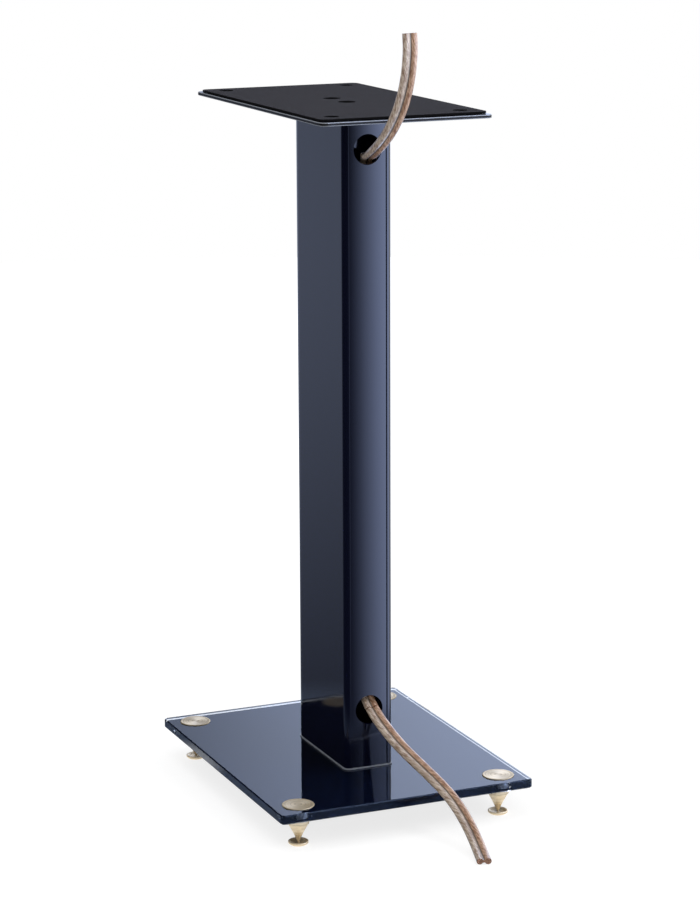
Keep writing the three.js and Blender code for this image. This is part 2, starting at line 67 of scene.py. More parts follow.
def camera_axes(turn, rise, roll):
    """Right, up and backward directions: backward points from the target to the camera, right is
    level and square to it, and the roll turns right and up about it."""
    back = Vector((
        math.sin(turn) * math.cos(rise),
        -math.cos(turn) * math.cos(rise),
        math.sin(rise),
    ))
    right = (-back).cross(Vector((0, 0, 1))).normalized()
    up = right.cross(-back)
    rolled_right = right * math.cos(roll) + up * math.sin(roll)
    rolled_up = up * math.cos(roll) - right * math.sin(roll)
    return rolled_right, rolled_up, back


right, up, back = camera_axes(TURN, RISE, ROLL)
camera = bpy.data.objects.new("camera", bpy.data.cameras.new("camera"))
bpy.context.scene.collection.objects.link(camera)
camera.data.lens = FOCAL_PIXELS * SENSOR / PICTURE_HEIGHT
camera.data.sensor_width = SENSOR
camera.data.clip_start = 0.1
camera.data.clip_end = 50
camera.matrix_world = Matrix.Translation(TARGET + back * DISTANCE) @ Matrix(
    (right, up, back)
).transposed().to_4x4()
bpy.context.scene.camera = camera
print("camera at", [round(x, 4) for x in camera.location], "lens", round(camera.data.lens, 2))

# %% [markdown]
# ## Writing shaders as sums
# Most finishes need a little arithmetic, such as a distance from an axis or a fade between two
# heights. A small class wraps one socket, so that `1 - mask` or `x * x + y * y` adds the Math
# nodes. Every node comes from one function.

# %% Shader sums


class Wire:
    """One output socket. Python's operators on it add Math nodes to its tree."""

    def __init__(self, tree, socket):
        self.tree = tree
        self.socket = socket

    def math(self, operation, *others):
        """A Math node that takes this wire first and the others after it."""
        inputs = {f"n{i}": value for i, value in enumerate((self, *others))}
        return add_node(self.tree, "ShaderNodeMath", {"operation": operation}, **inputs)

    def __add__(self, other):
        return self.math("ADD", other)

    def __sub__(self, other):
        return self.math("SUBTRACT", other)

    def __mul__(self, other):
        return self.math("MULTIPLY", other)

    def __rsub__(self, other):
        return (self * -1) + other

    __radd__ = __add__

    def __abs__(self):
        return self.math("ABSOLUTE")

    def fade(self, start, end):
        """0 up to start, 1 from end on, and a smooth step between them."""
        return add_node(
            self.tree, "ShaderNodeMapRange", {"interpolation_type": "SMOOTHSTEP"},
            Value=self, From_Min=start, From_Max=end,
        )


def connect(tree, slot, value):
    """Puts a wire or a plain value into an input socket."""
    if isinstance(value, Wire):
        tree.links.new(value.socket, slot)
    elif slot.type == "RGBA" and len(value) == 3:
        slot.default_value = (*value, 1)
    else:
        slot.default_value = value


def add_node(tree, kind, settings=None, output=0, **values):
    """Adds a node: its settings first, then the values or wires of its inputs. An input's name
    is written with _ for a space, and a numbered input as n0, n1 and so on."""
    made = tree.nodes.new(kind)
    for name, value in (settings or {}).items():
        setattr(made, name, value)
    for name, value in values.items():
        numbered = name[0] == "n" and name[1:].isdigit()
        slot = made.inputs[int(name[1:]) if numbered else name.replace("_", " ")]
        connect(tree, slot, value)
    return Wire(tree, made.outputs[output])


class Sheet:
    """A node tree to draw a finish on."""

    def __init__(self, tree):
        self.tree = tree

    def node(self, kind, settings=None, output=0, **values):
        """Adds a node to this tree."""
        return add_node(self.tree, kind, settings, output, **values)

    def place(self):
        """Object coordinates."""
        return self.node("ShaderNodeTexCoord", output="Object")

    def split(self, vector):
        """The three numbers of a vector."""
        return [self.node("ShaderNodeSeparateXYZ", output=i, Vector=vector) for i in range(3)]

    def ray(self, kind):
        """1 for rays of one kind, such as Camera or Glossy."""
        return self.node("ShaderNodeLightPath", output=f"Is {kind} Ray")

    def grain(self, scale, detail=2, at=None):
        """Noise from 0 to 1 in Object coordinates, or at another place, with about that many
        bumps to the metre."""
        at = at or self.place()
        return self.node("ShaderNodeTexNoise", Vector=at, Scale=scale, Detail=detail)

    def blend(self, share, first, second):
        """The first colour where share is 0, the second where it is 1. The node's own colours
        are its inputs 6 and 7 and its output 2."""
        return self.node(
            "ShaderNodeMix", {"data_type": "RGBA"}, output=2, n0=share, n6=first, n7=second
        )

    def relief(self, height, depth):
        """A normal from a height of 0 to 1 that stands for that many metres."""
        return self.node("ShaderNodeBump", Height=height, Distance=depth, Strength=1)


FINISHES = {}


class Finish(Sheet):
    """A material with one Principled surface. Constants go straight onto its sockets."""

    def __init__(self, name, **constants):
        FINISHES[name] = self
        self.material = bpy.data.materials.new(name)
        self.material.use_nodes = True
        super().__init__(self.material.node_tree)
        self.surface = self.tree.nodes["Principled BSDF"]
        self.set(**constants)

    def set(self, **values):
        for name, value in values.items():
            connect(self.tree, self.surface.inputs[name.replace("_", " ")], value)


print("shader helpers ready")

# %% [markdown]
# ## Surfaces from arrays
# A turned part is a profile carried round an axis. A plate is an outline drawn several times at
# different heights, shrunk a little at its edges. Both are grids of points worked out at once,
# with the faces between neighbouring rows.

# %% Surface helpers


def grid_faces(rows, columns, first=0, closed=False):
    """Quads between the rows of a grid whose columns go round. Closed also joins the last row
    to the first."""
    row = np.arange(rows if closed else rows - 1)[:, None]
    column = np.arange(columns)[None, :]
    after, beside = (row + 1) % rows, (column + 1) % columns
    corners = [row * columns + column, row * columns + beside]
    corners += [after * columns + beside, after * columns + column]
    return np.stack(corners, -1).reshape(-1, 4) + first


def softened(corners, radius, steps=4, closed=False):
    """A line with rounded corners: each corner P gives way to (1-t)^2 A + 2t(1-t) P + t^2 B,
    where A and B lie `radius` before and after it, or less where the sides are short."""
    p = np.asarray(corners, float)
    back_way, on_way = np.roll(p, 1, 0) - p, np.roll(p, -1, 0) - p
    back_length = np.linalg.norm(back_way, axis=1, keepdims=True)
    on_length = np.linalg.norm(on_way, axis=1, keepdims=True)
    reach = np.minimum(radius, 0.45 * np.minimum(back_length, on_length))
    a = (p + back_way / back_length * reach)[:, None]
    b = (p + on_way / on_length * reach)[:, None]
    t = np.linspace(0, 1, steps + 1)[None, :, None]
    curve = (1 - t) ** 2 * a + 2 * t * (1 - t) * p[:, None] + t**2 * b
    if closed:
        return curve.reshape(-1, p.shape[1])
    return np.concatenate([p[:1], curve[1:-1].reshape(-1, p.shape[1]), p[-1:]])


def turned(profile, centre=(0, 0), steps=96, closed=False):
    """A profile of (radius, height) carried round an upright axis at centre:
    x = cx + r cos a, y = cy + r sin a, z = height."""
    profile = np.asarray(profile, float)
    angle = np.linspace(0, 2 * np.pi, steps, endpoint=False)
    radius, height = profile[:, :1], profile[:, 1:]
    x = centre[0] + radius * np.cos(angle)
    y = centre[1] + radius * np.sin(angle)
    points = np.stack([x, y, height + 0 * angle], -1).reshape(-1, 3)
    return points, grid_faces(len(profile), steps, closed=closed)


def level_triangles(rings, upward):
    """Triangles that fill the first outline less the others, all at one height."""
    flat = [[Vector((x, y, 0)) for x, y, _ in ring] for ring in rings]
    found = np.array(geometry.tessellate_polygon(flat))
    points = np.concatenate(rings)[:, :2]
    a, b, c = (points[found[:, i]] for i in range(3))
    (ux, uy), (vx, vy) = (b - a).T, (c - a).T
    wrong = (ux * vy - uy * vx > 0) != upward
    found[wrong] = found[wrong][:, ::-1]
    return found


def plate(outlines):
    """A plate with holes. Each outline is a function of how far the metal draws back, with its
    own edge profile of (draw back, height) from the underside up. Returns the points, the wall
    quads and the level triangles."""
    points, walls, bottoms, tops, start = [], [], [], [], 0
    for outline, profile in outlines:
        rings = [np.column_stack([outline(s), np.full(len(outline(s)), z)]) for s, z in profile]
        columns = len(rings[0])
        walls.append(grid_faces(len(rings), columns, start))
        bottoms.append((rings[0], start + np.arange(columns)))
        tops.append((rings[-1], start + (len(rings) - 1) * columns + np.arange(columns)))
        points.append(np.concatenate(rings))
        start += len(rings) * columns
    levels = []
    for ends, upward in ((bottoms, False), (tops, True)):
        numbers = np.concatenate([index for _, index in ends])
        levels.append(numbers[level_triangles([ring for ring, _ in ends], upward)])
    return np.concatenate(points), np.concatenate(walls), np.concatenate(levels)


def rounded_rectangle(width, depth, radius, steps=14):
    """Outline function: four quarter circles about the corner centres, counter-clockwise."""
    angle = np.linspace(0, np.pi / 2, steps + 1)
    cx = (width / 2 - radius) * np.array([1, -1, -1, 1])[:, None]
    cy = (depth / 2 - radius) * np.array([1, 1, -1, -1])[:, None]
    turn = angle + np.arange(4)[:, None] * np.pi / 2

    def outline(shrink):
        r = radius - shrink
        return np.stack([cx + r * np.cos(turn), cy + r * np.sin(turn)], -1).reshape(-1, 2)

    return outline


def hole(x, y, radius, steps=64):
    """Outline function of a round hole, clockwise. It widens as the metal draws back."""
    angle = -np.linspace(0, 2 * np.pi, steps, endpoint=False)

    def outline(shrink):
        r = radius + shrink
        return np.column_stack([x + r * np.cos(angle), y + r * np.sin(angle)])

    return outline


def edge(bottom, top, radius, steps=4):
    """Edge profile of a plate, rounded by a quarter circle below and above."""
    angle = np.linspace(0, np.pi / 2, steps + 1)
    draw = radius * (1 - np.sin(angle))
    rise = radius * (1 - np.cos(angle))
    below = np.column_stack([draw, bottom + rise])
    above = np.column_stack([draw[::-1], top - rise[::-1]])
    return np.concatenate([below, above])


print("surface helpers ready")

# %% [markdown]
# ## Turning arrays into pieces
# Each piece gets its mesh in metres with its place in its points, smooth shading broken at real
# corners, its finish, the body it rides on and the CAD node it stands for. Weighted normals let
# the large flat faces keep their own direction right up to a rounded edge.

# %% Piece maker


def mesh_object(name, points, faces):
    """A mesh object in the scene, from points in millimetres and lists of point numbers."""
    mesh = bpy.data.meshes.new(name)
    mesh.from_pydata((np.asarray(points) * MM).tolist(), [], faces)
    made = bpy.data.objects.new(name, mesh)
    bpy.context.scene.collection.objects.link(made)
    return made


def piece(name, points, faces, finishes, node, body="root", level=None, marks=None):
    """Makes a finished piece. The level faces come after the walls and end in a sharp line, and
    marks gives each face its number in the finishes."""
    level_faces = [] if level is None else level.tolist()
    made = mesh_object(name, points, faces.tolist() + level_faces)
    for finish in finishes:
        made.data.materials.append(FINISHES[finish].material)
    if marks is not None:
        made.data.polygons.foreach_set("material_index", np.asarray(marks, np.int32))
    shade(made.data, len(faces))
    weigh_normals(made)
    return dress(made, finishes[0], node, body)


def weigh_normals(made):
    """Adds the weighted-normal modifier, which keeps the sharp edges."""
    weighted = made.modifiers.new("weighted", "WEIGHTED_NORMAL")
    weighted.keep_sharp = True
    weighted.weight = 100


def shade(mesh, walls, angle=35):
    """Smooth shading, sharp where faces meet at more than the angle, and all round the level
    faces, which come after the walls."""
    mesh.polygons.foreach_set("use_smooth", np.ones(len(mesh.polygons), bool))
    mesh.set_sharp_from_angle(angle=math.radians(angle))
    edge_of = np.zeros(len(mesh.loops), np.int32)
    mesh.loops.foreach_get("edge_index", edge_of)
    sizes = np.zeros(len(mesh.polygons), np.int32)
    mesh.polygons.foreach_get("loop_total", sizes)
    is_level = np.repeat(np.arange(len(sizes)) >= walls, sizes)
    count = np.bincount(edge_of, weights=is_level, minlength=len(mesh.edges))
    sharp = np.zeros(len(mesh.edges), bool)
    mesh.edges.foreach_get("use_edge_sharp", sharp)
    mesh.edges.foreach_set("use_edge_sharp", sharp | (count == 1))


def dress(made, slot, node, body):
    """Rides the piece on its body and lets it stand for its CAD node."""
    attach(made, body)
    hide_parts(node)
    print(f"{made.name}: {len(made.data.polygons)} faces on {body}")
    return made


def weld(made, distance=1e-6):
    """Merges points that lie together, which closes seams and the poles of turned parts, and
    then turns the faces outward."""
    shell = bmesh.new()
    shell.from_mesh(made.data)
    bmesh.ops.remove_doubles(shell, verts=shell.verts, dist=distance)
    bmesh.ops.recalc_face_normals(shell, faces=shell.faces)
    shell.to_mesh(made.data)
    shell.free()


print("piece maker ready")

# %% [markdown]
# ## The cable's route
# A speaker cable keeps the bends it is given. It leaves the upper hole, turns up behind the plate
# and stands by its own stiffness; at the lower hole it leans over the rear edge of the glass
# down to the floor. One smooth curve goes through all of the CAD route's points.

# %% Cable route
UPPER_ROUTE = [
    (0, 59, 560.5), (4, 69, 561), (7.8, 79, 562.2), (10.8, 89, 564.3), (13.2, 99, 567.2),
    (15, 109, 570.8), (16, 118.8, 575.2), (16.4, 128, 580.4), (16.2, 136.7, 586.6),
    (15.7, 144.7, 594.2), (14.9, 151.8, 602.8), (14, 157.7, 612.5), (13.2, 162.3, 622.8),
    (12.6, 165.7, 633.6), (12.2, 167.8, 644.9), (12, 168.6, 656.2), (12.3, 168.2, 667.5),
]
INNER_ROUTE = [
    (-3, 51.6, 558.8), (-4.8, 45.6, 554), (-5.2, 42.2, 546.4), (-5, 41, 536), (-4.2, 41, 515),
    (-3, 41, 470), (-2.5, 41, 400), (-2.5, 41, 300), (-2.5, 41, 200), (-2.2, 41, 145),
    (-2, 41.2, 122), (-1.8, 42.8, 109), (-1.7, 46.4, 99.6), (-2, 52.2, 92.4),
]
LOWER_ROUTE = [
    (-2.8, 59, 86.5), (-4.6, 67.5, 80), (-7, 76, 74), (-9.7, 84.8, 68.2), (-12.7, 93.7, 62.8),
    (-16, 102.7, 57.8), (-19.5, 111.8, 53), (-23, 121, 48.4), (-26.3, 130.2, 43.9),
    (-29.3, 139.5, 39.4), (-31.8, 149, 34.7), (-33.6, 158.5, 29.8), (-34.7, 168, 24.8),
    (-35, 177.6, 19.9), (-34.7, 187.4, 15.2), (-33.7, 197.3, 11), (-32.1, 207.4, 7.3),
    (-29.9, 217.8, 4.4), (-27.2, 228, 3),
]


def spans(line):
    """The distances between neighbours."""
    return np.linalg.norm(np.diff(line, axis=0), axis=1)


def smooth_route(points, per_span):
    """Centripetal Catmull-Rom curve: between neighbours P1 and P2 a cubic whose slopes come from
    the four nearest points, each span weighed by the square root of its length."""
    p = np.asarray(points, float)
    p = np.concatenate([[2 * p[0] - p[1]], p, [2 * p[-1] - p[-2]]])
    span = np.sqrt(spans(p))[:, None]
    p0, p1, p2, p3 = p[:-3], p[1:-2], p[2:-1], p[3:]
    d0, d1, d2 = span[:-2], span[1:-1], span[2:]
    slope1 = d1 * ((p1 - p0) / d0 - (p2 - p0) / (d0 + d1) + (p2 - p1) / d1)
    slope2 = d1 * ((p2 - p1) / d1 - (p3 - p1) / (d1 + d2) + (p3 - p2) / d2)
    t = np.linspace(0, 1, per_span, endpoint=False)[:, None, None]
    cubic = p1 + slope1 * t + (3 * (p2 - p1) - 2 * slope1 - slope2) * t**2
    cubic = cubic + (2 * (p1 - p2) + slope1 + slope2) * t**3
    return np.concatenate([cubic.transpose(1, 0, 2).reshape(-1, 3), p[-2:-1]])


PER_SPAN = 12
WHOLE_ROUTE = smooth_route(UPPER_ROUTE[::-1] + INNER_ROUTE + LOWER_ROUTE, PER_SPAN)
UPPER_END = (len(UPPER_ROUTE) - 1) * PER_SPAN
LOWER_START = (len(UPPER_ROUTE) + len(INNER_ROUTE)) * PER_SPAN
upper_line = WHOLE_ROUTE[: UPPER_END + 1][::-1]
inner_line = WHOLE_ROUTE[UPPER_END + 1 : LOWER_START]
lower_line = WHOLE_ROUTE[LOWER_START:]
lengths = [round(spans(line).sum(), 1) for line in (upper_line, inner_line, lower_line)]
print("cable lengths in mm:", lengths)

# %% [markdown]
# ## The cable's finish
# Clear plastic over bare strands: one core is tinned, the other plain copper, and the groove
# between them is painted dark, as painted shade where light is lost in it. Stripes that wind round
# each core, under a clear coat, look like the hundreds of strands at this size. The pattern
# follows the cable through its UV map, whose first number goes once round the section and whose
# second is the distance along it in metres. Each strand has a tone of its own.

# %% Cable finish
STRANDS_ROUND = 44
STRANDS_A_METRE = 420
TONE_ALONG, TONE_SCALE = 45, 3.7
CABLE_RELIEF = 0.00012

strands = Finish(
    "clear_copper_cable", Metallic=0.2, Coat_Weight=1.0, Coat_Roughness=0.08, Coat_IOR=1.5
)
uv = strands.node("ShaderNodeUVMap", {"uv_map": "along"})
around, along, _ = strands.split(uv)
second = (around - 0.5).math("GREATER_THAN", 0)
wound = around * STRANDS_ROUND + along * STRANDS_A_METRE
strand = (wound * 2 * math.pi).math("SINE") * 0.5 + 0.5
own_place = strands.node(
    "ShaderNodeCombineXYZ", n0=wound.math("FLOOR"), n1=along * TONE_ALONG, n2=0.0
)
tone = strands.grain(TONE_SCALE, at=own_place).fade(0.34, 0.66)
to_groove = abs((around * 2).math("FRACT") - 0.5) * 2
outside = 1 - to_groove.fade(0.84, 0.99)
tinned = strands.blend(tone, (0.34, 0.22, 0.15), (0.90, 0.77, 0.62))
copper = strands.blend(tone, (0.36, 0.17, 0.09), (0.95, 0.64, 0.44))
metal = strands.blend(second, tinned, copper)
# Painted shade: the groove between the cores is drawn in a dark colour.
shaded = strands.blend(outside, (0.12, 0.11, 0.085), metal)
strands.set(
    Base_Color=strands.blend(strand.fade(0.0, 0.45), (0.17, 0.10, 0.07), shaded),
    Roughness=0.32 + tone * 0.2,
    Normal=strands.relief(strand * outside, CABLE_RELIEF),
)
print("cable finish ready")

# %% [markdown]
# ## The cable itself
# The section is two round cores joined by a thin web. Carrying it along the route with its wide
# side level gives the flat twin cable; its two cut ends are closed flat, where the strands show
# as a patch of copper in each core. The upper stretch is kept out of mirror-like surfaces,
# because its image in the crowned cover would be a dark patch beside the upper hole.

# %% Cable pieces
CORE_RADIUS, CORE_PLACE, CORE_REACH = 2.75, 3.5, 150
WEB_HALF = 1.0

cut = Finish("cut_strands", Metallic=0.8)
cells = cut.node(
    "ShaderNodeTexVoronoi", {"feature": "DISTANCE_TO_EDGE"},
    Vector=cut.place(), Scale=2600.0,
)
wire = cells.fade(0.02, 0.16)
cut.set(
    Base_Color=cut.blend(wire, (0.05, 0.03, 0.02), (0.66, 0.33, 0.18)),
    Roughness=0.55 - wire * 0.2,
    Normal=cut.relief(wire, depth=0.0001),
)


def cable_section(steps=14):
    """Counter-clockwise from the bottom of the groove: the arc of the right core, the top of
    the groove, then the left core. Each core is centre + r (cos a, sin a), for angles up to
    the core's reach on either side of its outermost point."""
    reach = math.radians(CORE_REACH)
    angle = np.linspace(-reach, reach, steps)
    right_core = np.column_stack([
        CORE_PLACE + CORE_RADIUS * np.cos(angle), CORE_RADIUS * np.sin(angle)
    ])
    left_core = -right_core
    groove = np.array([[0, WEB_HALF]])
    return np.concatenate([-groove, right_core, groove, left_core])


def carried(section, line):
    """Each section point (x, y) goes to P + x A + y B at every point P of the line, where A is
    the level direction across the cable and B is square to A and to the line."""
    along_line = np.gradient(line, axis=0)
    along_line /= np.linalg.norm(along_line, axis=1, keepdims=True)
    a = np.array([1.0, 0, 0]) - along_line[:, :1] * along_line
    a /= np.linalg.norm(a, axis=1, keepdims=True)
    b = np.cross(along_line, a)
    return line[:, None] + section[None, :, :1] * a[:, None] + section[None, :, 1:] * b[:, None]


def cable_piece(name, line, node):
    """A closed length of cable. Its UV map holds the share of the way round the section and the
    distance along the line."""
    section = cable_section()
    rows, columns = len(line), len(section)
    points = carried(section, line).reshape(-1, 3)
    faces = grid_faces(rows, columns)
    ends = level_triangles([np.column_stack([section, 0 * section[:, 0]])], True)
    caps = np.concatenate([ends[:, ::-1], ends + (rows - 1) * columns])
    marks = np.r_[np.zeros(len(faces)), np.ones(len(caps))]
    made = piece(
        name, points, faces, ["clear_copper_cable", "cut_strands"], node,
        level=caps, marks=marks,
    )
    distance = np.r_[0, np.cumsum(spans(line))] * MM
    row, column = np.divmod(np.arange(len(faces)), columns)
    u = np.stack([column, column + 1, column + 1, column], -1) / columns
    v = distance[np.stack([row, row, row + 1, row + 1], -1)]
    corner = np.concatenate([np.stack([u, v], -1).reshape(-1, 2), np.zeros((caps.size, 2))])
    made.data.uv_layers.new(name="along").data.foreach_set("uv", corner.ravel())
    return made


cable_upper = cable_piece("speaker_cable_upper", upper_line, "cable_upper")
cable_piece("speaker_cable_inner", inner_line, "cable_inner")
cable_lower = cable_piece("speaker_cable_lower", lower_line, "cable_lower")
cable_upper.visible_glossy = False
for cable, line in ((cable_upper, upper_line), (cable_lower, lower_line)):
    tuple(line[0] * MM)
    float(spans(line).sum() * MM)
    (line * MM).tolist()

# %% [markdown]
# ## The lacquer on the column
# Navy gloss lacquer mirrors the studio. It is never quite flat, so a very shallow relief bends
# the reflections a little, and a faint cloud changes its depth and its gloss.

# %% Navy lacquer
lacquer = Finish("navy_lacquer", IOR=1.5, Specular_Tint=(0.81, 0.85, 1.0))
cloud = lacquer.grain(scale=9.0)
peel = lacquer.grain(scale=120.0, detail=1)
lacquer.set(
    Base_Color=lacquer.blend(cloud, (0.0018, 0.0022, 0.0085), (0.0026, 0.0032, 0.0115)),
    Roughness=0.06 + cloud * 0.04,
    Normal=lacquer.relief(peel, depth=0.000006),
)
print("lacquer ready")

# %% [markdown]
# ## Glass painted on its back
# Clear plate glass with dark paint under it looks like black water: the polished top mirrors the
# studio, and the paint shows only where something dark is mirrored. The glass here is real clear
# glass, and the paint is a second finish on its underside. It stops just short of the edges, and
# that clear margin shows as a fine white line on the far side. The haze and the specks are dust.

# %% Glass finishes
clear_glass = Finish(
    "back_painted_glass", IOR=1.52, Transmission_Weight=1.0, Specular_Tint=(0.70, 0.82, 1.0)
)
haze = clear_glass.grain(scale=14.0)
speck = clear_glass.grain(scale=900.0, detail=1).fade(0.76, 0.80)
clear_glass.set(
    Base_Color=clear_glass.blend(haze, (0.80, 0.87, 0.97), (0.84, 0.90, 0.98)),
    Roughness=0.012 + haze * 0.012 + speck * 0.1,
)
paint = Finish("back_paint", IOR=1.1)
brushed = paint.grain(scale=30.0)
paint.set(
    Base_Color=paint.blend(brushed, (0.0040, 0.0080, 0.0240), (0.0055, 0.0100, 0.0290)),
    Roughness=0.5 + brushed * 0.2,
)
print("glass ready")

# %% [markdown]
# ## Black steel and the pad
# The top plate is black paint on steel with a fine skin of orange peel, and the pad on it is a
# thin charcoal sheet with a close grain that scatters nearly all the light.

# %% Steel and pad finishes
steel = Finish("black_steel", IOR=1.5)
fine = steel.grain(scale=1400.0)
steel.set(
    Base_Color=steel.blend(fine, (0.008, 0.009, 0.014), (0.014, 0.015, 0.022)),
    Roughness=0.13 + fine * 0.08,
    Normal=steel.relief(fine, depth=0.00001),
)
pad_skin = Finish("charcoal_pad", Specular_IOR_Level=0.04)
close = pad_skin.grain(scale=2600.0, detail=3)
patch = pad_skin.grain(scale=60.0, detail=3)
felted = close * 0.75 + patch * 0.25
pad_skin.set(
    Base_Color=pad_skin.blend(felted, (0.016, 0.015, 0.017), (0.050, 0.048, 0.053)),
    Roughness=0.78 + close * 0.15,
    Normal=pad_skin.relief(close, depth=0.00012),
)
print("steel and pad ready")

# %% [markdown]
# ## Spun brass
# The feet are turned brass with a pale nickel-like tint. The tool leaves fine rings about each
# foot's axis, in bands of lighter and darker metal, and rings spread a highlight into two fans.
# A turned face also scatters light, so it isn't fully metallic, and stays warm where it mirrors
# something dark. The four feet are mirror images, so one finish serves all of them: it is drawn
# by the distance from the nearest foot's axis.

# %% Spun brass finish
FOOT_X, FOOT_Y = 92.0, 121.5


def from_foot_axis(x, y):
    """The length of (|x| - foot x, |y| - foot y), in metres."""
    off_x, off_y = abs(x) - FOOT_X * MM, abs(y) - FOOT_Y * MM
    return (off_x * off_x + off_y * off_y).math("SQRT")


brass = Finish("spun_brass", Metallic=0.7, Anisotropic=0.8)
x, y, z = brass.split(brass.place())
ring_place = brass.node("ShaderNodeCombineXYZ", n0=from_foot_axis(x, y), n1=z, n2=0.0)
rings = brass.grain(scale=2600.0, at=ring_place)
bands = brass.grain(scale=800.0, detail=1, at=ring_place)
turned_tone = (rings * 0.35 + bands * 0.65).fade(0.36, 0.62)
brass.set(
    Base_Color=brass.blend(turned_tone, (0.64, 0.51, 0.32), (0.99, 0.83, 0.58)),
    Roughness=0.32 + rings * 0.12,
    Normal=brass.relief(rings, depth=0.00003),
)
print("brass ready")

# %% [markdown]
# ## The small hardware
# The nuts, bolts, washers and the spreader are zinc-plated, with a soft mottle in the plating.
# The bushes are white nylon, the gasket under the column is a clear sheet that catches the light,
# and the pad under the glass is black rubber. The top plate's rounded edges carry a painted
# highlight, a light grey that stands in for the light they catch; the cut sides of its pad are
# matt black, and its screws are blackened steel.

# %% Hardware finishes


def mottled(name, dark, light, scale, roughness, spread, depth, **constants):
    """A plain finish with a cloud of its own. The cloud goes from the dark to the light colour,
    adds up to the spread to the roughness, and stands up by the depth."""
    made = Finish(name, **constants)
    mottle = made.grain(scale, detail=3)
    made.set(
        Base_Color=made.blend(mottle, dark, light),
        Roughness=roughness + mottle * spread,
        Normal=made.relief(mottle, depth),
    )


mottled(
    "zinc_steel", dark=(0.34, 0.35, 0.36), light=(0.56, 0.57, 0.58), scale=500.0,
    roughness=0.28, spread=0.2, depth=0.00002, Metallic=1.0,
)
mottled(
    "white_nylon", dark=(0.28, 0.28, 0.29), light=(0.36, 0.36, 0.37), scale=300.0,
    roughness=0.45, spread=0.15, depth=0.00003,
)
mottled(
    "clear_gasket", dark=(0.20, 0.22, 0.26), light=(0.30, 0.32, 0.37), scale=350.0,
    roughness=0.2, spread=0.15, depth=0.00002,
)
mottled(
    "black_rubber", dark=(0.010, 0.010, 0.011), light=(0.022, 0.022, 0.024), scale=1500.0,
    roughness=0.7, spread=0.2, depth=0.00005,
)
# Painted highlight for the top plate's rounded edges: a light grey in place of the light they
# catch.
mottled(
    "painted_edge_highlight", dark=(0.27, 0.29, 0.33), light=(0.35, 0.37, 0.41), scale=700.0,
    roughness=0.3, spread=0.15, depth=0.00001, Metallic=0.3,
)
mottled(
    "cut_edge", dark=(0.005, 0.005, 0.006), light=(0.010, 0.010, 0.011), scale=1500.0,
    roughness=0.8, spread=0.15, depth=0.00003, Specular_IOR_Level=0.05,
)
mottled(
    "black_screw", dark=(0.006, 0.006, 0.007), light=(0.014, 0.014, 0.016), scale=900.0,
    roughness=0.4, spread=0.15, depth=0.00002, Specular_IOR_Level=0.2,
)
ZINC_NODES = [
    "spreader_plate", "bolt_washer_front", "bolt_washer_rear", "base_bolt_front", "base_bolt_rear"
]
for finish, nodes in (
    ("black_rubber", ["spreader_pad"]),
    ("zinc_steel", ZINC_NODES),
    ("black_screw", ["top_screw_front", "top_screw_rear"]),
):
    for node in nodes:
        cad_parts[node].data.materials.clear()
        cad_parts[node].data.materials.append(FINISHES[finish].material)
print("hardware ready")

# %% [markdown]
# ## The glass base
# A sheet of 8 mm glass with rounded corners, polished arrises, a hole for each foot and two for
# the bolts into the column. The arris is a flat at 45 degrees, and its two long corners are
# eased. The paint is on the level faces of the underside, which end a little inside the arris.

# %% Glass base
BASE_WIDTH, BASE_DEPTH, BASE_CORNER = 230, 285, 4
GLASS_BOTTOM, GLASS_TOP, ARRIS, HOLE_ARRIS = 26.0, 34.0, 0.8, 0.5
PAINT_MARGIN = 2.1
FOOT_HOLE_RADIUS, BOLT_HOLE_RADIUS = 8, 5
PORTS = (-16.0, 16.0)


def arris_edge(bottom, top, size, ease=0.12):
    """Edge profile: up a 45 degree flat, up the side, and back along another flat. Each corner
    is cut once more at half the angle."""
    s = size
    return np.array([
        (s + ease, bottom), (s, bottom + ease), (ease, bottom + s), (0, bottom + s + ease),
        (0, top - s - ease), (ease, top - s), (s, top - ease), (s + ease, top),
    ])


glass_edge = np.concatenate([
    [(PAINT_MARGIN, GLASS_BOTTOM)], arris_edge(GLASS_BOTTOM, GLASS_TOP, ARRIS)
])
hole_edge = arris_edge(GLASS_BOTTOM, GLASS_TOP, HOLE_ARRIS)
outlines = [(rounded_rectangle(BASE_WIDTH, BASE_DEPTH, BASE_CORNER), glass_edge)]
outlines += [
    (hole(sx * FOOT_X, sy * FOOT_Y, FOOT_HOLE_RADIUS), hole_edge)
    for sx in (-1, 1) for sy in (-1, 1)
]
outlines += [(hole(0, y, BOLT_HOLE_RADIUS), hole_edge) for y in PORTS]
points, walls, levels = plate(outlines)
underside = points[levels[:, 0], 2] < (GLASS_BOTTOM + GLASS_TOP) / 2
piece(
    "glass_base", points, walls, ["back_painted_glass", "back_paint"], "base_glass",
    level=levels, marks=np.r_[np.zeros(len(walls)), underside],
)

# %% [markdown]
# ## The feet
# Every part of a foot is turned on a lathe: the disc on the glass with its boss, the nylon bush,
# the nut, the spike and the cup. Each is a profile carried round the foot's axis, given as
# radius and height. The spike is hollow ground, so its radius grows with a power of the height
# above the tip. Pieces that touch on the real foot stay 0.3 mm apart here, as in the CAD model,
# but the disc is nearer to the glass, so that no light shows under it.

